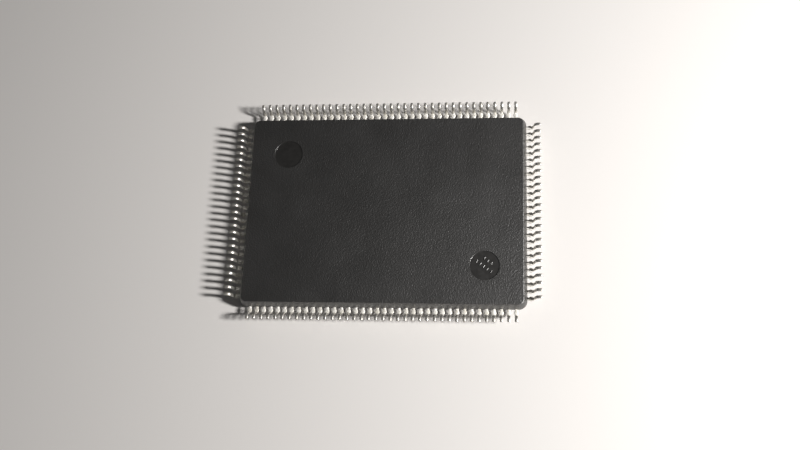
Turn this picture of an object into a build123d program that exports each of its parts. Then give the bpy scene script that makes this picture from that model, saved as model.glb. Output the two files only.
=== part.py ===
from build123d import *

import os
from math import atan2, cos, degrees, hypot, pi, radians, sin, tan

# A fine-pitch quad flat pack, lying upside down: the marked face is on the table, the blank
# underside faces up and the soles of the gull-wing feet stand a little above it.
# Millimetres. The long side runs along X. Z = 0 is the marked face, at the middle of the body.

# Moulded body
marked_half_depth = 0.70
underside_half_depth = 0.70
parting_land = 0.15
draft_angle = 12.0
corner_radius = 0.60
edge_break = 0.05
corner_margin = 0.75

# Round marks in the body's two faces
ejector_diameter = 2.05
ejector_depth = 0.05
ejector_inset = 2.90
pin_one_diameter = 1.2
pin_one_depth = 0.08
pin_one_inset = 1.5

# Two rows of raised bars in one ejector mark
tally_bar_height = 0.03
tally_bar_width = 0.09
tally_bar_length = 0.26
tally_bar_pitch = 0.30
tally_turn = -36.0
tally_long_row = 5
tally_short_row = 3
tally_long_row_place = -0.08
tally_short_row_place = 0.42

# Leads outside the body
lead_pitch = 0.50
long_side_leads = 38
short_side_leads = 26
lead_width = 0.22
lead_thickness = 0.127
lead_reach = 1.0
shoulder_length = 0.32
riser_angle = 80.0
bend_facet = 0.07
standoff = 0.10

# Leads inside the body
tip_width = 0.14
tip_to_tie_gap = 0.25
long_tip_gap = 0.60
short_tip_gap = 1.20
long_tip_bow = 1.14
short_tip_bow = 1.44

# Die pad with its tie bars
pad_margin_long = 1.50
pad_margin_short = 0.90
pad_downset = 0.20
tie_bar_width = 0.20
tie_slope_start = 0.20
tie_slope_length = 0.40

# Die, its adhesive and its bond wires
die_length = 7.0
die_width = 5.0
die_thickness = 0.28
adhesive_thickness = 0.025
adhesive_margin = 0.05
bond_inset = 0.15
bond_row_end = 0.36
wire_diameter = 0.025
wire_sides = 3
wire_rise = 0.14
stitch_inset = 0.16

# Nodes
leads_in_a_node = 4

# Sizes that follow
body_length = (long_side_leads - 1) * lead_pitch + 2 * corner_margin
body_width = (short_side_leads - 1) * lead_pitch + 2 * corner_margin
frame_level = marked_half_depth
underside_level = marked_half_depth + underside_half_depth
pad_length = die_length + 2 * pad_margin_long
pad_width = die_width + 2 * pad_margin_short
pad_level = frame_level + pad_downset
adhesive_top = pad_level - lead_thickness / 2
die_top = adhesive_top - adhesive_thickness
die_face = die_top - die_thickness
sole_rise = underside_half_depth + standoff - lead_thickness / 2

# A tie bar runs from each corner of the pad to the corner of the body.
tie_run_x = (body_length - corner_margin - pad_length) / 2
tie_run_y = (body_width - corner_margin - pad_width) / 2


class Row:
    """The leads of one side. Its own frame has X outward from the wall, Y along the row and
    Z up from the middle of the leadframe. The pad, die and tie bar are given by their half
    sizes or runs, first outward and then along the row."""

    def __init__(self, count, wall, pad, die, tie, tip_gap, tip_bow):
        self.count = count
        self.wall = wall
        self.last_step = (count - 1) / 2
        self.bond_line = die[0] - bond_inset
        self.bond_pitch = (die[1] - bond_row_end) / self.last_step
        self.tip_line = pad[0] + tip_gap
        self.tip_bow = tip_bow
        # The last tip of a row stands a gap away from the tie bar beside it.
        tie_place = pad[1] + (tip_gap + tip_bow) * tie[1] / tie[0]
        tie_room = (tie_bar_width / 2 + tip_to_tie_gap) * hypot(*tie) / tie[0]
        self.tip_pitch = (tie_place - tie_room - tip_width / 2) / self.last_step

    def steps(self):
        """How many pitches each lead stands from the middle of the row."""
        return [self.last_step - k for k in range(self.count)]

    def tip(self, step):
        """The end of a lead inside the body. The tips bow outward towards the corners."""
        line = self.tip_line + self.tip_bow * (step / self.last_step) ** 2
        return line - self.wall, step * self.tip_pitch

    def bond(self, step):
        """The bond pad on the die that a lead is wired to."""
        return self.bond_line - self.wall, step * self.bond_pitch


long_row = Row(
    count=long_side_leads,
    wall=body_width / 2,
    pad=(pad_width / 2, pad_length / 2),
    die=(die_width / 2, die_length / 2),
    tie=(tie_run_y, tie_run_x),
    tip_gap=long_tip_gap,
    tip_bow=long_tip_bow,
)
short_row = Row(
    count=short_side_leads,
    wall=body_length / 2,
    pad=(pad_length / 2, pad_width / 2),
    die=(die_length / 2, die_width / 2),
    tie=(tie_run_x, tie_run_y),
    tip_gap=short_tip_gap,
    tip_bow=short_tip_bow,
)


def formed_lead(row, step):
    """One lead: a straight shoulder, a steep riser and a flat foot outside the body, and a
    tapered finger inside it."""
    place = step * lead_pitch
    half = lead_thickness / 2
    corner = half * tan(radians(riser_angle) / 2)
    heel = shoulder_length + sole_rise / tan(radians(riser_angle))
    side_outline = [
        (0, -half),
        (shoulder_length + corner, -half),
        (heel + corner, sole_rise - half),
        (lead_reach, sole_rise - half),
        (lead_reach, sole_rise + half),
        (heel - corner, sole_rise + half),
        (shoulder_length - corner, half),
        (0, half),
    ]
    tip_x, tip_y = row.tip(step)
    finger_outline = [
        (0, place - lead_width / 2),
        (0, place + lead_width / 2),
        (tip_x, tip_y + tip_width / 2),
        (tip_x, tip_y - tip_width / 2),
    ]
    with BuildPart() as lead:
        with BuildSketch(Plane.XZ.offset(-place)) as side_view:
            with BuildLine():
                Polyline(*side_outline, close=True)
            make_face()
            outer_corners = [
                side_view.vertices().group_by(Axis.Y)[0].sort_by(Axis.X)[-1],
                side_view.vertices().group_by(Axis.Y)[-1].sort_by(Axis.X)[0],
            ]
            chamfer(outer_corners, length=bend_facet)
        extrude(amount=lead_width / 2, both=True)
        with BuildSketch(Plane.XY.offset(-half)):
            with BuildLine():
                Polyline(*finger_outline, close=True)
            make_face()
        extrude(amount=lead_thickness)
    return lead.part


def bond_wire(row, step):
    """One wire: straight down from its pad on the die, then a long slope to its lead. The end
    is cut flush with the face of the lead."""
    tip_x, tip_y = row.tip(step)
    bond_x, bond_y = row.bond(step)
    run = (-tip_x, step * lead_pitch - tip_y)
    share = stitch_inset / hypot(*run)
    stitch = Vector(tip_x + share * run[0], tip_y + share * run[1], -lead_thickness / 2)
    start = Vector(bond_x, bond_y, die_face - frame_level)
    top = start - Vector(0, 0, wire_rise)
    beyond = stitch + (stitch - top).normalized() * stitch_inset
    heading = degrees(atan2(stitch.Y - start.Y, stitch.X - start.X))
    section_radius = wire_diameter / 2 * (2 * pi / (wire_sides * sin(2 * pi / wire_sides))) ** 0.5
    with BuildPart() as wire:
        with BuildLine():
            Polyline(start, top, beyond)
        section_plane = Plane(
            origin=start,
            x_dir=(cos(radians(heading)), sin(radians(heading)), 0),
            z_dir=(0, 0, -1),
        )
        with BuildSketch(section_plane):
            RegularPolygon(section_radius, wire_sides)
        sweep(transition=Transition.RIGHT)
        split(bisect_by=Plane.XY.offset(-lead_thickness / 2), keep=Keep.BOTTOM)
    return wire.part


def row_frame(row, turn):
    """Where a row's own frame stands in the package."""
    outward = (cos(radians(turn)), sin(radians(turn)), 0)
    origin = Vector(*outward) * row.wall + Vector(0, 0, frame_level)
    return Plane(origin=origin, x_dir=outward, z_dir=(0, 0, 1)).location


# The leads and wires of one side of each kind. The opposite side repeats them.
shapes = {
    row: [(formed_lead(row, step), bond_wire(row, step)) for step in row.steps()]
    for row in (long_row, short_row)
}

# Pin numbers run clockwise as seen from the underside, side by side.
sides = [
    (long_row, 90),
    (short_row, 0),
    (long_row, -90),
    (short_row, 180),
]

os.makedirs("parts", exist_ok=True)
all_leads = []
all_wires = []
last_pin = 0
for row, turn in sides:
    frame = row_frame(row, turn)
    first_pin = last_pin + 1
    last_pin = last_pin + row.count

    with BuildPart() as bond_wires:
        with Locations(frame):
            for lead_shape, wire_shape in shapes[row]:
                add(wire_shape)
    wires_name = f"bond_wires_{first_pin:03d}_{last_pin:03d}"
    bond_wires.part.label = wires_name
    export_step(bond_wires.part, f"parts/{wires_name}.step")
    all_wires.append(bond_wires.part)

    for start in range(0, row.count, leads_in_a_node):
        group = shapes[row][start : start + leads_in_a_node]
        with BuildPart() as leads:
            with Locations(frame):
                for lead_shape, wire_shape in group:
                    add(lead_shape)
        from_pin = first_pin + start
        leads_name = f"leads_{from_pin:03d}_{from_pin + len(group) - 1:03d}"
        leads.part.label = leads_name
        export_step(leads.part, f"parts/{leads_name}.step")
        all_leads.append(leads.part)


# Die pad: a plate set off from the plane of the leads, held by a tie bar to each corner
tie_root = tie_bar_width
tie_slope_end = tie_slope_start + tie_slope_length
tie_reach = hypot(tie_run_x, tie_run_y) + corner_margin + corner_radius
tie_outline = [
    (-tie_root, pad_downset - lead_thickness / 2),
    (tie_slope_start, pad_downset - lead_thickness / 2),
    (tie_slope_end, -lead_thickness / 2),
    (tie_reach, -lead_thickness / 2),
    (tie_reach, lead_thickness / 2),
    (tie_slope_end, lead_thickness / 2),
    (tie_slope_start, pad_downset + lead_thickness / 2),
    (-tie_root, pad_downset + lead_thickness / 2),
]
tie_along = Vector(tie_run_x, tie_run_y, 0).normalized()
tie_plane = Plane(
    origin=(pad_length / 2, pad_width / 2, frame_level),
    x_dir=tie_along,
    z_dir=tie_along.cross(Vector(0, 0, 1)),
)
with BuildPart() as die_pad:
    with BuildSketch(tie_plane):
        with BuildLine():
            Polyline(*tie_outline, close=True)
        make_face()
    extrude(amount=tie_bar_width / 2, both=True)
    mirror(about=Plane.YZ)
    mirror(about=Plane.XZ)
    with BuildSketch(Plane.XY.offset(pad_level - lead_thickness / 2)):
        Rectangle(pad_length, pad_width)
    extrude(amount=lead_thickness)
    # The tie bars were cut off flush with the body at its corners.
    with BuildSketch():
        RectangleRounded(body_length, body_width, corner_radius)
    extrude(amount=underside_level, mode=Mode.INTERSECT)
die_pad.part.label = "die_pad"
export_step(die_pad.part, "parts/die_pad.step")

with BuildPart() as die_adhesive:
    with BuildSketch(Plane.XY.offset(die_top)):
        Rectangle(die_length + 2 * adhesive_margin, die_width + 2 * adhesive_margin)
    extrude(amount=adhesive_thickness)
die_adhesive.part.label = "die_adhesive"
export_step(die_adhesive.part, "parts/die_adhesive.step")

with BuildPart() as silicon_die:
    with BuildSketch(Plane.XY.offset(die_face)):
        Rectangle(die_length, die_width)
    extrude(amount=die_thickness)
silicon_die.part.label = "silicon_die"
export_step(silicon_die.part, "parts/silicon_die.step")

# Moulded body: two drafted halves that meet in an upright land, with everything inside it
# left out of the compound
ejector_x = body_length / 2 - ejector_inset
ejector_y = body_width / 2 - ejector_inset
with BuildPart() as moulded_body:
    with BuildSketch(Plane.XY.offset(frame_level - parting_land / 2)):
        RectangleRounded(body_length, body_width, corner_radius)
    extrude(amount=parting_land)
    extrude(
        moulded_body.faces().sort_by(Axis.Z)[-1],
        amount=underside_half_depth - parting_land / 2,
        taper=draft_angle,
    )
    extrude(
        moulded_body.faces().sort_by(Axis.Z)[0],
        amount=marked_half_depth - parting_land / 2,
        taper=draft_angle,
    )
    chamfer(moulded_body.faces().sort_by(Axis.Z)[-1].edges(), edge_break)
    chamfer(moulded_body.faces().sort_by(Axis.Z)[0].edges(), edge_break)

    # Ejector pins left two shallow round marks in the underside.
    with BuildSketch(Plane.XY.offset(underside_level)):
        with Locations((-ejector_x, ejector_y), (ejector_x, -ejector_y)):
            Circle(ejector_diameter / 2)
    extrude(amount=-ejector_depth, mode=Mode.SUBTRACT)

    # Raised bars in one of them tell the mould's cavities apart.
    tally_plane = Plane(
        origin=(ejector_x, -ejector_y, underside_level - ejector_depth),
        x_dir=(cos(radians(tally_turn)), sin(radians(tally_turn)), 0),
        z_dir=(0, 0, 1),
    )
    with BuildSketch(tally_plane):
        with Locations((0, tally_long_row_place)):
            with GridLocations(tally_bar_pitch, 0, tally_long_row, 1):
                Rectangle(tally_bar_width, tally_bar_length)
        with Locations((0, tally_short_row_place)):
            with GridLocations(tally_bar_pitch, 0, tally_short_row, 1):
                Rectangle(tally_bar_width, tally_bar_length)
    extrude(amount=tally_bar_height)

    # The round dimple beside pin 1, in the marked face.
    with BuildSketch(Plane.XY):
        with Locations(
            (-body_length / 2 + pin_one_inset, body_width / 2 - pin_one_inset)
        ):
            Circle(pin_one_diameter / 2)
    extrude(amount=pin_one_depth, mode=Mode.SUBTRACT)

    add(all_leads, mode=Mode.SUBTRACT)
    add([die_pad.part, die_adhesive.part, silicon_die.part], mode=Mode.SUBTRACT)
    add(all_wires, mode=Mode.SUBTRACT)
moulded_body.part.label = "moulded_body"
export_step(moulded_body.part, "parts/moulded_body.step")
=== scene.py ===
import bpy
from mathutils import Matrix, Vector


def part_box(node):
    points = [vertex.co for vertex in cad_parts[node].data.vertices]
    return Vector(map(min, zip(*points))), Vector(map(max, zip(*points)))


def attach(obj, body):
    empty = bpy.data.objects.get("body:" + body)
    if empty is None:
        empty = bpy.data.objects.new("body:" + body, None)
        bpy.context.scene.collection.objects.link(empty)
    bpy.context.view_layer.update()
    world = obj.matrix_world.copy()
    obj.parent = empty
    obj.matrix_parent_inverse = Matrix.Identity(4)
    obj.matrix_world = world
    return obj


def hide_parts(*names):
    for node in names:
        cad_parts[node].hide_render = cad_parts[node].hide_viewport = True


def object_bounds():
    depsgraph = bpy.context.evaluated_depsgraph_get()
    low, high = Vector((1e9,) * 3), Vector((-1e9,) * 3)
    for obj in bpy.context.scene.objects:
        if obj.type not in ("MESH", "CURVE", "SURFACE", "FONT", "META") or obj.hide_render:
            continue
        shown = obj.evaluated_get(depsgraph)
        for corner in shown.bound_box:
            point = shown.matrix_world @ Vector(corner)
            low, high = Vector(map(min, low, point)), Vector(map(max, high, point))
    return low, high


bl_info = {
    "name": "Quad Flat Pack",
    "version": (1, 0, 0),
    "blender": (4, 5, 0),
    "location": "View3D > Sidebar > Chip",
    "description": "Dresses a packed quad flat pack chip and sets the stage that it lies on",
    "category": "Object",
}

import math
import random

import bmesh
import bpy
from bpy.props import FloatProperty, FloatVectorProperty, IntProperty, PointerProperty
from mathutils import Vector
from mathutils.geometry import tessellate_polygon

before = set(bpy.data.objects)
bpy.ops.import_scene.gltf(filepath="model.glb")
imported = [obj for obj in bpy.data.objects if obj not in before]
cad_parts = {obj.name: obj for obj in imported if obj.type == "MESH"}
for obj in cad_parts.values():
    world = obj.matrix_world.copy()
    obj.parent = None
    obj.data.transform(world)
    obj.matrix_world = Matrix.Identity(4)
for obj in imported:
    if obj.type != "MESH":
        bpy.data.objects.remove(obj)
cad_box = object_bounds()
body_low, body_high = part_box("moulded_body")
leadframe_z = (body_low.z + body_high.z) / 2

MM = 0.001
RIGHT_ANGLE = math.radians(90)
UP = Vector((0, 0, 1))
SMOOTH_BELOW = math.radians(45)


def size(name, description, millimetres):
    """A length that a user can change. Its default is given in millimetres."""
    return FloatProperty(
        name=name,
        description=description,
        default=millimetres * MM,
        unit="LENGTH",
        precision=6,
    )


def turn(name, description, degrees):
    """An angle that a user can change. Its default is given in degrees."""
    return FloatProperty(
        name=name, description=description, default=math.radians(degrees), subtype="ANGLE"
    )


def share(name, description, default):
    """A number from 0 to 1 that a user can change."""
    return FloatProperty(
        name=name, description=description, default=default, min=0, max=1, subtype="FACTOR"
    )


def colour(name, description, default):
    """A linear colour that a user can change."""
    return FloatVectorProperty(
        name=name, description=description, default=default, size=3, min=0, max=1, subtype="COLOR"
    )


class BodyLooks(bpy.types.PropertyGroup):
    """The moulded body's outer form and the look of its compound."""

    corner_radius: size("Corner radius", "Upright corners, at the parting line", 0.60)
    land: size("Land", "Height of the upright band at the parting line", 0.15)
    draft: turn("Draft", "Lean of the walls", 20.0)
    edge_radius: size("Edge radius", "Rounding where the walls meet the faces", 0.06)
    mark_radius: size("Ejector mark radius", "Round marks in the underside", 1.025)
    mark_depth: size("Ejector mark depth", "Depth of the round marks", 0.05)
    mark_inset: size("Ejector mark inset", "Centre of a mark, in from two sides", 2.90)
    mark_rim: size("Ejector mark rim", "Rounding of the marks' edges", 0.010)
    dimple_radius: size("Dimple radius", "Round dimple at pin 1", 0.60)
    dimple_depth: size("Dimple depth", "Depth of the dimple at pin 1", 0.08)
    dimple_inset: size("Dimple inset", "Centre of the dimple, in from two sides", 1.5)
    tally_width: size("Tally bar width", "Raised bars in one ejector mark", 0.09)
    tally_length: size("Tally bar length", "Raised bars in one ejector mark", 0.26)
    tally_height: size("Tally bar height", "Raised bars in one ejector mark", 0.03)
    tally_pitch: size("Tally bar pitch", "Step from bar to bar", 0.30)
    tally_turn: turn("Tally row turn", "Direction of the two rows of bars", -36.0)
    compound: colour("Compound", "Black epoxy compound", (0.0032, 0.0025, 0.0019))
    # Paler filler grains, partly a painted glint. Also the colour of the painted light on the
    # walls, and of the clouds in the ejector marks.
    fleck: colour("Fleck", "Filler grains at the surface", (0.060, 0.057, 0.052))
    grain_size: size("Grain size", "Spark-eroded grain of the mould", 0.08)
    grain_depth: size("Grain depth", "Height of the grain", 0.030)
    roughness: share("Roughness", "Roughness of the eroded faces", 0.455)
    mark_roughness: share("Mark roughness", "Roughness of the ejector marks", 0.36)
    gloss: share("Gloss", "Strength of the compound's reflections", 1.0)
    refraction: FloatProperty(
        name="Refraction", description="Refractive index of the filled compound", default=1.8, min=1
    )


class LeadLooks(bpy.types.PropertyGroup):
    """The formed leads and their plating."""

    pitch: size("Pitch", "Step from lead to lead", 0.50)
    width: size("Width", "Width of a lead outside the body", 0.22)
    thickness: size("Thickness", "Thickness of the strip", 0.127)
    reach: size("Reach", "From the wall to the end of the foot", 1.0)
    shoulder: size("Shoulder", "From the wall to the corner of the first bend", 0.45)
    riser: turn("Riser", "Steepness of the lead between its bends", 78.0)
    shoulder_radius: size("Shoulder radius", "Inside of the bend at the shoulder", 0.08)
    heel_radius: size("Heel radius", "Inside of the bend at the heel", 0.20)
    foot_rise: turn("Foot rise", "Slope of the foot towards its end", 5.0)
    edge_radius: size("Edge radius", "Rounding of the strip's edges", 0.050)
    toe_length: size("Toe length", "Rounding of the foot's end, along the foot", 0.14)
    toe_depth: size("Toe depth", "Rounding of the foot's end, across it", 0.045)
    crown: size("Crown", "Rise of the strip's faces at their middle", 0.012)
    stub_width: size("Dam bar stub", "What is left of the dam bar, each side", 0.05)
    stub_start: size("Stub start", "From the wall to the cut dam bar", 0.19)
    stub_end: size("Stub end", "From the wall to the far side of the cut", 0.34)
    stub_slope: size("Stub slope", "Length of the slope up to the stub", 0.06)
    tip_width: size("Tip width", "Width at the end inside the body", 0.14)
    long_tip_line: size("Long tip line", "Middle tips of the long rows, from the middle", 4.0)
    long_tip_bow: size("Long tip bow", "How far the tips bow out in the long rows", 1.14)
    long_tip_pitch: size("Long tip pitch", "Step from tip to tip in the long rows", 0.3683)
    short_tip_line: size("Short tip line", "Middle tips of the short rows, from the middle", 6.2)
    short_tip_bow: size("Short tip bow", "How far the tips bow out in the short rows", 1.44)
    short_tip_pitch: size("Short tip pitch", "Step from tip to tip in the short rows", 0.3797)
    wander: size("Wander", "How far the ends of the feet stray", 0.012)
    seed: IntProperty(name="Seed", description="Draws the stray of each foot", default=7)
    plating: colour("Plating", "Tin plating", (0.92, 0.90, 0.86))
    stain: colour("Stain", "Dull patches in the plating", (0.60, 0.57, 0.50))
    matt_roughness: share("Matt roughness", "Roughness of the plating on the shoulders", 0.55)
    matt_metal: share("Matt metal", "How far from white the matt plating looks", 0.45)
    rubbed_roughness: share("Rubbed roughness", "Roughness where the tool bent the leads", 0.38)
    rubbed_metal: share("Rubbed metal", "How far from white the rubbed plating looks", 0.94)
    bare_end: colour("Bare end", "Copper alloy where the leads were cut off", (0.42, 0.27, 0.17))


class InnerLooks(bpy.types.PropertyGroup):
    """The pieces sealed in the compound."""

    copper: colour("Copper", "Bare copper alloy of the die pad", (0.72, 0.43, 0.29))
    gold: colour("Gold", "Bond wires", (0.88, 0.62, 0.22))
    silicon: colour("Silicon", "Polished die", (0.10, 0.11, 0.14))
    adhesive: colour("Adhesive", "Silver-filled die adhesive", (0.55, 0.54, 0.50))


class StageLooks(bpy.types.PropertyGroup):
    """The floor, the light and the camera."""

    floor: colour("Floor", "Plain pale floor", (0.775, 0.755, 0.740))
    floor_half: size("Floor half size", "From the middle to the floor's edge", 600.0)
    lamp_place: FloatVectorProperty(
        name="Lamp place",
        description="Where the lamp stands",
        default=(86.7 * MM, -16.4 * MM, 68.8 * MM),
        unit="LENGTH",
    )
    lamp_width: size("Lamp width", "Across the lamp", 10.0)
    lamp_height: size("Lamp height", "From the lamp's foot to its top", 17.0)
    lamp_level: share("Lamp level", "The lamp's part of the light at the middle of the chip", 0.92)
    lamp_tint: colour("Lamp tint", "Colour of the lamp", (1.0, 0.98, 0.955))
    zenith: share("Overhead level", "Brightness of the room overhead", 0.045)
    horizon: share("Horizon level", "Brightness of the room near the floor", 0.05)
    camera_place: FloatVectorProperty(
        name="Camera place",
        description="Where the camera stands",
        default=(8.376 * MM, -19.135 * MM, 61.559 * MM),
        unit="LENGTH",
    )
    camera_turn: FloatVectorProperty(
        name="Camera turn",
        description="The camera's turns about X, Y and Z",
        default=(math.radians(16.68), math.radians(6.227), math.radians(1.931)),
        subtype="EULER",
    )
    lens: FloatProperty(
        name="Lens", description="Focal length for a frame 36 mm wide", default=40.725, min=1
    )


class Signal:
    """What a shader node puts out. Sums of signals and numbers add their own nodes."""

    def __init__(self, maker, socket):
        self.maker = maker
        self.socket = socket

    def join(self, operation, first, second):
        """Adds a Math node for two signals or numbers."""
        return self.maker.node("ShaderNodeMath", {"operation": operation}, {0: first, 1: second})

    def __add__(self, other):
        return self.join("ADD", self, other)

    def __radd__(self, other):
        return self.join("ADD", other, self)

    def __sub__(self, other):
        return self.join("SUBTRACT", self, other)

    def __rsub__(self, other):
        return self.join("SUBTRACT", other, self)

    def __mul__(self, other):
        return self.join("MULTIPLY", self, other)

    def __rmul__(self, other):
        return self.join("MULTIPLY", other, self)

    def __gt__(self, other):
        return self.join("GREATER_THAN", self, other)

    def between(self, low, high):
        """0 at low, 1 at high and a smooth step from one to the other."""
        settings = {"interpolation_type": "SMOOTHSTEP"}
        ends = {"Value": self, "From Min": low, "From Max": high, "To Min": 0.0, "To Max": 1.0}
        return self.maker.node("ShaderNodeMapRange", settings, ends)


class Maker:
    """Builds the node tree of a material or of the world."""

    def __init__(self, tree):
        self.tree = tree
        tree.nodes.clear()

    def node(self, kind, settings=None, inputs=None, output=0):
        """Adds a node. Its settings come first, then the values or signals of its sockets."""
        node = self.tree.nodes.new(kind)
        for name, value in (settings or {}).items():
            setattr(node, name, value)
        for name, value in (inputs or {}).items():
            if isinstance(value, Signal):
                self.tree.links.new(value.socket, node.inputs[name])
            elif isinstance(value, (int, float)):
                node.inputs[name].default_value = value
            else:
                want = len(node.inputs[name].default_value)
                node.inputs[name].default_value = (*value, 1.0)[:want]
        return Signal(self, node.outputs[output]) if len(node.outputs) else None

    def place(self):
        """The place on the object, in metres."""
        return self.node("ShaderNodeTexCoord", output="Object")

    def axes(self, vector):
        """The three numbers of a vector."""
        inputs = {0: vector}
        return [self.node("ShaderNodeSeparateXYZ", None, inputs, axis) for axis in "XYZ"]

    def noise(self, place, cell, detail=2.0, rough=0.5):
        """A cloud with features about as large as the cell, in metres."""
        inputs = {"Vector": place, "Scale": 1 / cell, "Detail": detail, "Roughness": rough}
        return self.node("ShaderNodeTexNoise", None, inputs)

    def cells(self, place, cell, output="Distance"):
        """A field of scattered cells of that size, in metres."""
        inputs = {"Vector": place, "Scale": 1 / cell}
        return self.node("ShaderNodeTexVoronoi", None, inputs, output)

    def mix(self, factor, first, second):
        """A colour between two others."""
        # Sockets 6 and 7 of this node take colours, and its output 2 gives one.
        inputs = {0: factor, 6: first, 7: second}
        return self.node("ShaderNodeMix", {"data_type": "RGBA"}, inputs, 2)

    def bump(self, height, depth):
        """A surface normal raised by a height from 0 to 1 times the depth, in metres."""
        return self.node("ShaderNodeBump", None, {"Height": height, "Distance": depth})

    def surface(self, **inputs):
        """The one surface shader of a material."""
        named = {name.replace("_", " "): value for name, value in inputs.items()}
        shader = self.node("ShaderNodeBsdfPrincipled", None, named)
        self.node("ShaderNodeOutputMaterial", None, {"Surface": shader})


def new_material(name):
    """An empty material and the maker of its nodes."""
    material = bpy.data.materials.new(name)
    material.use_nodes = True
    return material, Maker(material.node_tree)


def compound_material(looks):
    """Black epoxy with the grain of a spark-eroded mould and paler filler grains that glint. Their
    paler colour is partly a painted glint, and the walls are painted paler near the parting line as
    painted light.
    """
    cloud_size = 2.2 * MM
    fleck_cell = 0.13 * MM
    # The edge and the solid middle of a fleck, as parts of its cell.
    fleck_edge = 0.26
    fleck_middle = 0.12
    fleck_share = 0.10
    # Where the painted light on the walls starts, and where it is at full strength.
    painted_light_top = 0.55 * MM
    painted_light_full = 0.20 * MM
    material, make = new_material("mould_compound")
    place = make.place()
    height = make.axes(place)[2]
    grain = make.noise(place, looks.grain_size, detail=1.5)
    crater = make.cells(place, looks.grain_size)
    cloud = make.noise(place, cloud_size)
    fleck = make.cells(place, fleck_cell).between(fleck_edge, fleck_middle)
    chance = make.axes(make.cells(place, fleck_cell, "Color"))[0]
    glint = fleck * (chance > 1 - fleck_share)
    # Painted light: the walls are painted paler from just above the parting line down, in place of
    # the light that falls on them.
    band = (height - leadframe_z).between(painted_light_top, painted_light_full)
    # The tone holds painted light: the flecks' paler colour is partly a painted glint, and the
    # paler walls are painted light.
    tone = make.mix(0.2 * glint + 0.25 * band, looks.compound, looks.fleck)
    rough = looks.roughness + 0.10 * (cloud - 0.5) - 0.2 * glint
    normal = make.bump(0.8 * grain + 0.2 * crater, looks.grain_depth)
    make.surface(
        Base_Color=tone,
        Roughness=rough,
        Normal=normal,
        IOR=looks.refraction,
        Specular_IOR_Level=looks.gloss,
    )
    return material


def mark_material(looks):
    """Compound that an ejector pin left smooth, with faint clouds and ripples."""
    cloud_size = 0.25 * MM
    ripple_size = 0.05 * MM
    ripple_depth = 0.0015 * MM
    material, make = new_material("ejector_mark")
    place = make.place()
    cloud = make.noise(place, cloud_size, detail=3.0)
    ripple = make.noise(place, ripple_size, detail=1.0)
    tone = make.mix(0.15 * cloud, looks.compound, looks.fleck)
    rough = looks.mark_roughness + 0.14 * (cloud - 0.5)
    normal = make.bump(0.5 * cloud + 0.5 * ripple, ripple_depth)
    make.surface(
        Base_Color=tone,
        Roughness=rough,
        Normal=normal,
        IOR=looks.refraction,
        Specular_IOR_Level=looks.gloss,
    )
    return material


def plating_material(looks):
    """Matt tin plating, rubbed smooth by the tool that bent the leads up from the shoulders."""
    patch_size = 0.30 * MM
    pebble_size = 0.022 * MM
    pebble_depth = 0.0012 * MM
    material, make = new_material("tin_plating")
    place = make.place()
    rise = make.axes(place)[2] - (leadframe_z + looks.thickness / 2)
    rubbed = rise.between(0.0, looks.shoulder_radius)
    patch = make.noise(place, patch_size, detail=3.0, rough=0.6).between(0.42, 0.64)
    pebble = make.noise(place, pebble_size)
    tone = make.mix(0.75 * patch, looks.plating, looks.stain)
    finish = looks.matt_roughness + (looks.rubbed_roughness - looks.matt_roughness) * rubbed
    metal = looks.matt_metal + (looks.rubbed_metal - looks.matt_metal) * rubbed
    rough = finish + 0.10 * patch + 0.1 * (pebble - 0.5)
    normal = make.bump(pebble, pebble_depth)
    make.surface(Base_Color=tone, Metallic=metal, Roughness=rough, Normal=normal)
    return material


def bare_end_material(looks):
    """Sheared copper alloy with tin smeared over parts of it."""
    smear_size = 0.05 * MM
    tear_size = 0.012 * MM
    tear_depth = 0.002 * MM
    material, make = new_material("cropped_end")
    place = make.place()
    smear = make.noise(place, smear_size).between(0.45, 0.60)
    tone = make.mix(smear, looks.bare_end, looks.plating)
    normal = make.bump(make.noise(place, tear_size, detail=1.0), tear_depth)
    make.surface(Base_Color=tone, Metallic=1.0, Roughness=0.42, Normal=normal)
    return material


def metal_material(name, tint, roughness, cloud_size):
    """Plain metal with a faint cloud in its gloss and colour."""
    cloud_depth = 0.001 * MM
    material, make = new_material(name)
    cloud = make.noise(make.place(), cloud_size, detail=3.0)
    tone = make.mix(0.4 * cloud, tint, [0.6 * part for part in tint])
    rough = roughness + 0.2 * (cloud - 0.5)
    normal = make.bump(cloud, cloud_depth)
    make.surface(Base_Color=tone, Metallic=1.0, Roughness=rough, Normal=normal)
    return material


def silicon_material(looks):
    """Polished silicon with the faint blocks of its circuit."""
    block_size = 0.6 * MM
    block_tint = (0.20, 0.16, 0.20)
    line_size = 0.04 * MM
    material, make = new_material("silicon")
    place = make.place()
    block = make.axes(make.cells(place, block_size, "Color"))[0]
    lines = make.noise(place, line_size, detail=1.0)
    tone = make.mix(0.6 * block, looks.silicon, block_tint)
    rough = 0.16 + 0.12 * lines
    make.surface(Base_Color=tone, Metallic=0.6, Roughness=rough, Coat_Weight=0.5)
    return material


def adhesive_material(looks):
    """Grey paste full of silver flakes."""
    flake_size = 0.02 * MM
    flake_depth = 0.002 * MM
    resin_tint = (0.25, 0.24, 0.22)
    material, make = new_material("die_adhesive")
    flake = make.cells(make.place(), flake_size)
    tone = make.mix(flake, looks.adhesive, resin_tint)
    normal = make.bump(flake, flake_depth)
    make.surface(Base_Color=tone, Metallic=0.5, Roughness=0.5, Normal=normal)
    return material


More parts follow.
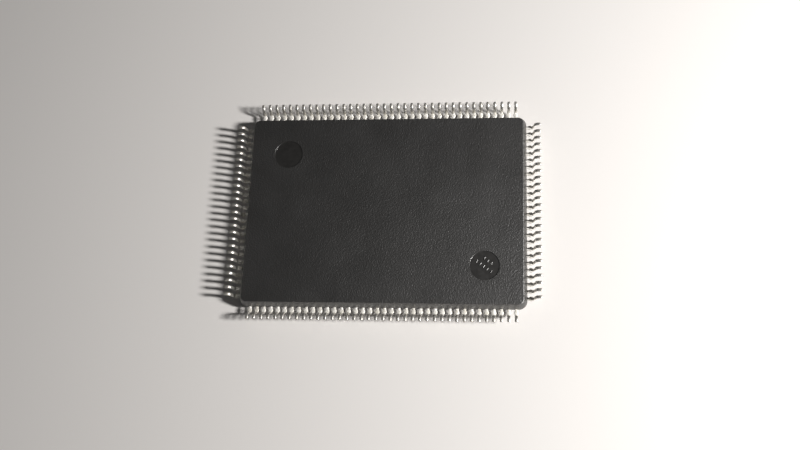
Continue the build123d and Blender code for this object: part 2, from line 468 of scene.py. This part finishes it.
def floor_material(looks):
    """Plain pale card. Far from the chip it turns into an even backdrop."""
    backdrop_start = 36 * MM
    backdrop_full = 120 * MM
    fibre_size = 0.4 * MM
    material, make = new_material("pale_floor")
    place = make.place()
    away = make.node("ShaderNodeVectorMath", {"operation": "LENGTH"}, {0: place}, "Value")
    far = away.between(backdrop_start, backdrop_full)
    paper = make.noise(place, fibre_size, detail=3.0)
    tone = make.mix(0.05 * paper, looks.floor, [0.8 * part for part in looks.floor])
    card = make.node("ShaderNodeBsdfDiffuse", None, {"Color": tone})
    glow = make.node("ShaderNodeEmission", None, {"Color": looks.floor, "Strength": 1.0})
    seen = make.node("ShaderNodeLightPath", output="Is Camera Ray")
    mirrored = make.node("ShaderNodeLightPath", output="Is Glossy Ray")
    factor = far * (seen + mirrored)
    both = make.node("ShaderNodeMixShader", None, {0: factor, 1: card, 2: glow})
    make.node("ShaderNodeOutputMaterial", None, {"Surface": both})
    return material


def dress(obj, material):
    """Gives an object one material all over."""
    obj.data.materials.clear()
    obj.data.materials.append(material)


def new_piece(name, bm, slot, *materials):
    """Makes a piece of the object from a finished mesh and lets it ride on the one body."""
    bmesh.ops.recalc_face_normals(bm, faces=bm.faces)
    smooth = [face.smooth for face in bm.faces]
    mesh = bpy.data.meshes.new(name)
    for material in materials:
        mesh.materials.append(material)
    bm.to_mesh(mesh)
    bm.free()
    # Setting the sharp edges smooths every face, so the flat ones are put back.
    mesh.set_sharp_from_angle(angle=SMOOTH_BELOW)
    mesh.polygons.foreach_set("use_smooth", smooth)
    piece = bpy.data.objects.new(name, mesh)
    bpy.context.scene.collection.objects.link(piece)
    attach(piece, "root")
    return piece


def bridge(bm, first, second, material=0):
    """Joins two rings of as many vertices with a smooth band of faces."""
    count = len(first)
    for k in range(count):
        beside = (k + 1) % count
        face = bm.faces.new((first[k], first[beside], second[beside], second[k]))
        face.smooth = True
        face.material_index = material


def skin(bm, rings, material=0):
    """Joins each ring of vertices to the next."""
    for first, second in zip(rings, rings[1:]):
        bridge(bm, first, second, material)


def cover(bm, rings, material=0):
    """Fills a flat ring of vertices, round any rings that lie in it."""
    verts = [vert for ring in rings for vert in ring]
    for corners in tessellate_polygon([[vert.co for vert in ring] for ring in rings]):
        face = bm.faces.new([verts[k] for k in corners])
        face.material_index = material


def quarter_turn(facets):
    """The angles of a quarter turn, from 0 to a right angle."""
    return [RIGHT_ANGLE * k / facets for k in range(facets + 1)]


def rounded_box(half_x, half_y, radius, facets):
    """The points round a rectangle with rounded corners, about the origin."""
    points = []
    for number, (side_x, side_y) in enumerate(((1, 1), (-1, 1), (-1, -1), (1, -1))):
        for k in range(facets + 1):
            angle = RIGHT_ANGLE * (number + k / facets)
            x = side_x * (half_x - radius) + radius * math.cos(angle)
            y = side_y * (half_y - radius) + radius * math.sin(angle)
            points.append((x, y))
    return points


class BodyMesh:
    """The body's outer form, built ring by ring."""

    # The round recesses have the second of the body's materials.
    mark_material = 1
    corner_facets = 14
    edge_facets = 5
    mark_facets = 96
    bar_facets = 4
    bar_steps = 3
    # How far a bar's top is rounded in, as a part of its width.
    bar_rounding = 0.42
    # The radius of a bar's corners, as a part of half its width.
    bar_corner = 0.9
    # How many bars each row has, and how far the row lies from the middle of the mark.
    tally_rows = ((5, -0.08 * MM), (3, 0.42 * MM))

    def __init__(self, looks):
        self.looks = looks
        self.bm = bmesh.new()
        self.half_x = body_high.x
        self.half_y = body_high.y

    def ring(self, points, z, centre=(0, 0)):
        """A ring of vertices at one height, round a centre."""
        return [self.bm.verts.new((centre[0] + x, centre[1] + y, z)) for x, y in points]

    def section(self):
        """Inset and level up one half of the wall, from the land to the flat face."""
        looks = self.looks
        half_depth = (body_high.z - body_low.z) / 2
        face_inset = (half_depth - looks.land / 2) * math.tan(looks.draft)
        lean = RIGHT_ANGLE - looks.draft
        start = face_inset + looks.edge_radius * math.tan(lean / 2)
        points = [(0.0, looks.land / 2)]
        for k in range(self.edge_facets + 1):
            angle = lean * (1 - k / self.edge_facets)
            inset = start - looks.edge_radius * math.sin(angle)
            level = half_depth - looks.edge_radius * (1 - math.cos(angle))
            points.append((inset, level))
        return points

    def walls(self):
        """Both halves of the wall. Returns the rings round the marked face and the underside."""
        half = self.section()
        section = [(inset, leadframe_z - level) for inset, level in reversed(half)]
        section += [(inset, leadframe_z + level) for inset, level in half]
        rings = []
        for inset, z in section:
            half_x = self.half_x - inset
            half_y = self.half_y - inset
            radius = self.looks.corner_radius - inset
            rings.append(self.ring(rounded_box(half_x, half_y, radius, self.corner_facets), z))
        skin(self.bm, rings)
        return rings[0], rings[-1]

    def recess(self, centre, radius, depth, face_z, inward):
        """A round recess with softened rims. Returns its outer ring and the ring of its floor."""
        rim = self.looks.mark_rim
        angles = [2 * math.pi * k / self.mark_facets for k in range(self.mark_facets)]
        steps = []
        for angle in quarter_turn(self.edge_facets):
            steps.append((radius + rim * (1 - math.sin(angle)), rim * (1 - math.cos(angle))))
        for angle in quarter_turn(self.edge_facets):
            down = depth - rim * (1 - math.sin(angle))
            steps.append((radius - rim * (1 - math.cos(angle)), down))
        rings = []
        for reach, down in steps:
            points = [(reach * math.cos(angle), reach * math.sin(angle)) for angle in angles]
            rings.append(self.ring(points, face_z + inward * down, centre))
        skin(self.bm, rings, self.mark_material)
        return rings[0], rings[-1]

    def bar(self, centre, turned, floor_z):
        """One raised bar with a rounded top. Returns the ring where it meets the floor."""
        looks = self.looks
        cos, sin = math.cos(turned), math.sin(turned)
        rings = []
        for angle in quarter_turn(self.bar_steps):
            inset = self.bar_rounding * looks.tally_width * (1 - math.cos(angle))
            half_x = looks.tally_width / 2 - inset
            half_y = looks.tally_length / 2 - inset
            flat = rounded_box(half_x, half_y, self.bar_corner * half_x, self.bar_facets)
            points = [(cos * x - sin * y, sin * x + cos * y) for x, y in flat]
            rings.append(self.ring(points, floor_z + looks.tally_height * math.sin(angle), centre))
        skin(self.bm, rings, self.mark_material)
        cover(self.bm, [rings[-1]], self.mark_material)
        return rings[0]

    def tally(self, centre, floor_z):
        """Two rows of raised bars, turned together."""
        looks = self.looks
        cos, sin = math.cos(looks.tally_turn), math.sin(looks.tally_turn)
        rings = []
        for count, row_place in self.tally_rows:
            for k in range(count):
                along = (k - (count - 1) / 2) * looks.tally_pitch
                x = centre[0] + cos * along - sin * row_place
                y = centre[1] + sin * along + cos * row_place
                rings.append(self.bar((x, y), looks.tally_turn, floor_z))
        return rings

    def build(self):
        """The whole form, with two marks in the underside and the dimple in the marked face."""
        looks = self.looks
        lower, upper = self.walls()
        mark_x = self.half_x - looks.mark_inset
        mark_y = self.half_y - looks.mark_inset
        mark = (looks.mark_radius, looks.mark_depth, body_high.z, -1)
        tallied = (mark_x, -mark_y)
        plain_rim, plain_floor = self.recess((-mark_x, mark_y), *mark)
        rim, floor = self.recess(tallied, *mark)
        cover(self.bm, [upper, plain_rim, rim])
        cover(self.bm, [plain_floor], self.mark_material)
        bars = self.tally(tallied, body_high.z - looks.mark_depth)
        cover(self.bm, [floor, *bars], self.mark_material)
        dimple = (-self.half_x + looks.dimple_inset, self.half_y - looks.dimple_inset)
        dimple_rim, dimple_floor = self.recess(
            dimple, looks.dimple_radius, looks.dimple_depth, body_low.z, 1
        )
        cover(self.bm, [lower, dimple_rim])
        cover(self.bm, [dimple_floor], self.mark_material)
        return self.bm


class Side:
    """One side's row of leads. The pins run clockwise as seen from the underside."""

    def __init__(self, wires_node, number, looks):
        # The node's name ends with the numbers of the side's first and last pins.
        self.first, self.last = (int(part) for part in wires_node.split("_")[2:])
        self.outward = Vector(((0, 1, 0), (1, 0, 0), (0, -1, 0), (-1, 0, 0))[number])
        self.along = UP.cross(self.outward)
        is_long = number % 2 == 0
        self.wall = body_high.y if is_long else body_high.x
        self.tip_line = looks.long_tip_line if is_long else looks.short_tip_line
        self.tip_bow = looks.long_tip_bow if is_long else looks.short_tip_bow
        self.tip_pitch = looks.long_tip_pitch if is_long else looks.short_tip_pitch

    def holds(self, pin):
        """Whether a pin belongs to this side."""
        return self.first <= pin <= self.last

    def step(self, pin):
        """How many pitches a pin stands from the middle of the row."""
        return (self.last - self.first) / 2 - (pin - self.first)

    def point(self, out, across, up):
        """A point given outward from the wall, along the row and up from the leadframe."""
        level = leadframe_z + up
        return self.outward * (self.wall + out) + self.along * across + UP * level


class LeadMesh:
    """Leads swept along their own bends, with rounded edges and cropped ends."""

    edge_facets = 3
    bend_facets = 8
    end_facets = 5
    # The least part of the edges' radius that is left at the end of the foot.
    edge_left = 0.25
    # The cropped ends have the second of the leads' materials.
    end_material = 1

    def __init__(self, looks):
        self.looks = looks
        self.bm = bmesh.new()
        self.half = looks.thickness / 2
        self.sole_rise = cad_box[1].z - leadframe_z - self.half

    def bend(self, corner, inside, start_slope, end_slope):
        """The middle line round a bend, as points with their slopes."""
        radius = inside + self.half
        tangent = radius * math.tan(abs(end_slope - start_slope) / 2)
        back = Vector((math.cos(start_slope), math.sin(start_slope)))
        start = corner - back * tangent
        side = 1 if end_slope > start_slope else -1
        centre = start + side * radius * Vector((-back.y, back.x))
        stations = []
        for k in range(self.bend_facets + 1):
            slope = start_slope + (end_slope - start_slope) * k / self.bend_facets
            normal = Vector((-math.sin(slope), math.cos(slope)))
            stations.append((centre - side * radius * normal, slope))
        return stations

    def middle_line(self):
        """Place, slope and half width from the wall to the end of the heel's bend."""
        looks = self.looks
        half = looks.width / 2
        wide = half + looks.stub_width
        # The foot ends at the height of the soles and comes down from there to the heel.
        climb = math.tan(looks.foot_rise)
        lean = 1 / math.tan(looks.riser)
        level = (self.sole_rise - (looks.reach - looks.shoulder) * climb) / (1 - lean * climb)
        stations = [
            (Vector((0, 0)), 0.0, half),
            (Vector((looks.stub_start - looks.stub_slope, 0)), 0.0, half),
            (Vector((looks.stub_start, 0)), 0.0, wide),
            (Vector((looks.stub_end, 0)), 0.0, wide),
            (Vector((looks.stub_end, 0)), 0.0, half),
        ]
        shoulder = Vector((looks.shoulder, 0))
        heel = Vector((looks.shoulder + level * lean, level))
        bends = self.bend(shoulder, looks.shoulder_radius, 0.0, looks.riser)
        bends += self.bend(heel, looks.heel_radius, looks.riser, looks.foot_rise)
        return stations + [(place, slope, half) for place, slope in bends]

    def add_ring(self, side, place, slope, across, half_width, shrink=0.0):
        """One ring round the strip. The shrink rounds off the end of the foot."""
        looks = self.looks
        edge = max(looks.edge_radius - shrink, self.edge_left * looks.edge_radius)
        half_width = half_width - shrink
        half_height = self.half - looks.crown - shrink
        centre = side.point(place.x, across, place.y)
        normal = UP * math.cos(slope) - side.outward * math.sin(slope)
        points = rounded_box(half_width, half_height, edge, self.edge_facets)
        corner = self.edge_facets + 1
        # The faces are highest along their middles.
        points.insert(3 * corner, (0.0, -half_height - looks.crown))
        points.insert(corner, (0.0, half_height + looks.crown))
        return [self.bm.verts.new(centre + side.along * x + normal * y) for x, y in points]

    def foot(self, heel, across):
        """The stations of the foot, from the end of the heel's bend to the rounded end."""
        looks = self.looks
        slope = looks.foot_rise
        run = Vector((math.cos(slope), math.sin(slope)))
        flat = looks.reach - looks.toe_length - heel.x
        stations = []
        for angle in quarter_turn(self.end_facets):
            reach = flat + looks.toe_length * math.sin(angle)
            shrink = looks.toe_depth * (1 - math.cos(angle))
            place = heel + run * (reach / math.cos(slope))
            stations.append((place, slope, across, looks.width / 2, shrink))
        return stations

    def add_lead(self, side, pin, aside, down):
        """One whole lead, from its tip inside the body to the cropped end of its foot.

        The foot's end strays from its place by two lengths, along the row and down.
        """
        looks = self.looks
        step = side.step(pin)
        last_step = (side.last - side.first) / 2
        tip_out = side.tip_line + side.tip_bow * (step / last_step) ** 2 - side.wall
        stations = [(Vector((tip_out, 0)), 0.0, step * side.tip_pitch, looks.tip_width / 2)]
        place = step * looks.pitch
        for point, slope, half_width in self.middle_line():
            stray = (max(point.x, 0) / looks.reach) ** 2
            lowered = Vector((point.x, point.y - down * stray))
            stations.append((lowered, slope, place + aside * stray, half_width))
        heel = stations[-1][0]
        stations += self.foot(heel, place + aside)
        rings = [self.add_ring(side, *station) for station in stations]
        skin(self.bm, rings)
        cover(self.bm, [rings[0]])
        cover(self.bm, [rings[-1]], self.end_material)


class CHIP_OT_mould_body(bpy.types.Operator):
    """Replace the plain body with one that has soft edges, ejector marks and a mould's grain"""

    bl_idname = "chip.mould_body"
    bl_label = "Mould Body"

    def execute(self, context):
        looks = context.scene.chip_body
        materials = (compound_material(looks), mark_material(looks))
        piece = new_piece("body_shell", BodyMesh(looks).build(), "mould_compound", *materials)
        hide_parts("moulded_body")
        return {"FINISHED"}


class CHIP_OT_form_leads(bpy.types.Operator):
    """Replace each group of leads with round-bent, tin-plated ones"""

    bl_idname = "chip.form_leads"
    bl_label = "Form Leads"

    def execute(self, context):
        looks = context.scene.chip_leads
        materials = (plating_material(looks), bare_end_material(looks))
        wires = sorted(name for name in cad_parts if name.startswith("bond_wires"))
        if len(wires) != 4:
            raise RuntimeError("the packed chip has no row of bond wires on each of four sides")
        sides = [Side(name, number, looks) for number, name in enumerate(wires)]
        draw = random.Random(looks.seed)
        for node in sorted(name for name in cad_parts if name.startswith("leads_")):
            # The node's name ends with the numbers of its first and last pins.
            first, last = (int(part) for part in node.split("_")[1:])
            side = next(side for side in sides if side.holds(first))
            group = LeadMesh(looks)
            for pin in range(first, last + 1):
                aside = draw.uniform(-1, 1) * looks.wander
                down = draw.uniform(0, 1) * looks.wander
                group.add_lead(side, pin, aside, down)
            piece = new_piece(f"formed_{node}", group.bm, "lead_plating", *materials)
            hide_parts(node)
        return {"FINISHED"}


class CHIP_OT_finish_inner(bpy.types.Operator):
    """Give the sealed pieces their own finishes"""

    bl_idname = "chip.finish_inner"
    bl_label = "Finish Inner Pieces"

    def execute(self, context):
        looks = context.scene.chip_inner
        gold = metal_material("gold_wire", looks.gold, roughness=0.25, cloud_size=0.05 * MM)
        copper = metal_material("bare_copper", looks.copper, roughness=0.38, cloud_size=0.2 * MM)
        finishes = {
            "die_pad": copper,
            "silicon_die": silicon_material(looks),
            "die_adhesive": adhesive_material(looks),
        }
        for name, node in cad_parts.items():
            if name.startswith("bond_wires"):
                dress(node, gold)
            elif name in finishes:
                dress(node, finishes[name])
        return {"FINISHED"}


class CHIP_OT_set_stage(bpy.types.Operator):
    """Lay the floor, set the lamp and the surroundings, and stand the camera"""

    bl_idname = "chip.set_stage"
    bl_label = "Set Stage"
    floor_gap = 0.002 * MM

    def execute(self, context):
        looks = context.scene.chip_stage
        self.lay_floor(looks)
        self.light(context.scene, looks)
        self.stand_camera(context.scene, looks)
        context.scene.view_settings.view_transform = "Standard"
        return {"FINISHED"}

    def lay_floor(self, looks):
        """A square sheet, just clear of the face that the chip lies on."""
        bm = bmesh.new()
        bmesh.ops.create_grid(bm, x_segments=1, y_segments=1, size=looks.floor_half)
        mesh = bpy.data.meshes.new("floor")
        bm.to_mesh(mesh)
        bm.free()
        floor = bpy.data.objects.new("floor", mesh)
        floor.location.z = body_low.z - self.floor_gap
        bpy.context.scene.collection.objects.link(floor)
        dress(floor, floor_material(looks))

    def light(self, scene, looks):
        """One lamp that faces the chip, in a dim room."""
        place = Vector(looks.lamp_place)
        lamp = bpy.data.lights.new("desk_lamp", "AREA")
        lamp.shape = "RECTANGLE"
        lamp.size = looks.lamp_width
        lamp.size_y = looks.lamp_height
        lamp.color = looks.lamp_tint
        # A level of 1 lights a white surface that faces up at the chip to white.
        lamp.energy = looks.lamp_level * math.pi**2 * place.length**3 / place.z
        stand = bpy.data.objects.new("desk_lamp", lamp)
        stand.location = place
        stand.rotation_euler = place.to_track_quat("Z", "Y").to_euler()
        scene.collection.objects.link(stand)

        world = bpy.data.worlds.new("room")
        world.use_nodes = True
        scene.world = world
        make = Maker(world.node_tree)
        # The rise is 1 overhead and 0 at the horizon.
        rise = make.axes(make.node("ShaderNodeTexCoord", output="Generated"))[2]
        level = looks.zenith + (looks.horizon - looks.zenith) * rise.between(0.9, 0.0)
        # The camera sees the floor's colour behind the floor's edge.
        seen = make.node("ShaderNodeLightPath", output="Is Camera Ray")
        tint = make.mix(seen, (1, 1, 1), looks.floor)
        strength = level + (1 - level) * seen
        room = make.node("ShaderNodeBackground", None, {"Color": tint, "Strength": strength})
        make.node("ShaderNodeOutputWorld", None, {"Surface": room})

    def stand_camera(self, scene, looks):
        """The camera, as it stood for the photograph."""
        data = bpy.data.cameras.new("camera")
        data.sensor_width = 36
        data.lens = looks.lens
        data.clip_start = 5 * MM
        data.clip_end = 5.0
        camera = bpy.data.objects.new("camera", data)
        camera.location = looks.camera_place
        camera.rotation_euler = looks.camera_turn
        scene.collection.objects.link(camera)
        scene.camera = camera


STEPS = (
    CHIP_OT_mould_body,
    CHIP_OT_form_leads,
    CHIP_OT_finish_inner,
    CHIP_OT_set_stage,
)
LOOKS = {
    "chip_body": BodyLooks,
    "chip_leads": LeadLooks,
    "chip_inner": InnerLooks,
    "chip_stage": StageLooks,
}


class CHIP_PT_looks(bpy.types.Panel):
    """The sizes and colours of the chip, and the steps that make it"""

    bl_idname = "CHIP_PT_looks"
    bl_label = "Quad Flat Pack"
    bl_space_type = "VIEW_3D"
    bl_region_type = "UI"
    bl_category = "Chip"

    def draw(self, context):
        for step in STEPS:
            self.layout.operator(step.bl_idname)
        for name, group in LOOKS.items():
            box = self.layout.box()
            for key in group.__annotations__:
                box.prop(getattr(context.scene, name), key)


CLASSES = (*LOOKS.values(), *STEPS, CHIP_PT_looks)


def register():
    """Adds the classes, and the looks to every scene."""
    for made in CLASSES:
        bpy.utils.register_class(made)
    for name, group in LOOKS.items():
        setattr(bpy.types.Scene, name, PointerProperty(type=group))


def unregister():
    """Takes away what register added."""
    for name in LOOKS:
        delattr(bpy.types.Scene, name)
    for made in reversed(CLASSES):
        bpy.utils.unregister_class(made)


def main():
    """Makes the model."""
    register()
    bpy.ops.chip.mould_body()
    bpy.ops.chip.form_leads()
    bpy.ops.chip.finish_inner()
    bpy.ops.chip.set_stage()


if __name__ == "__main__":
    main()
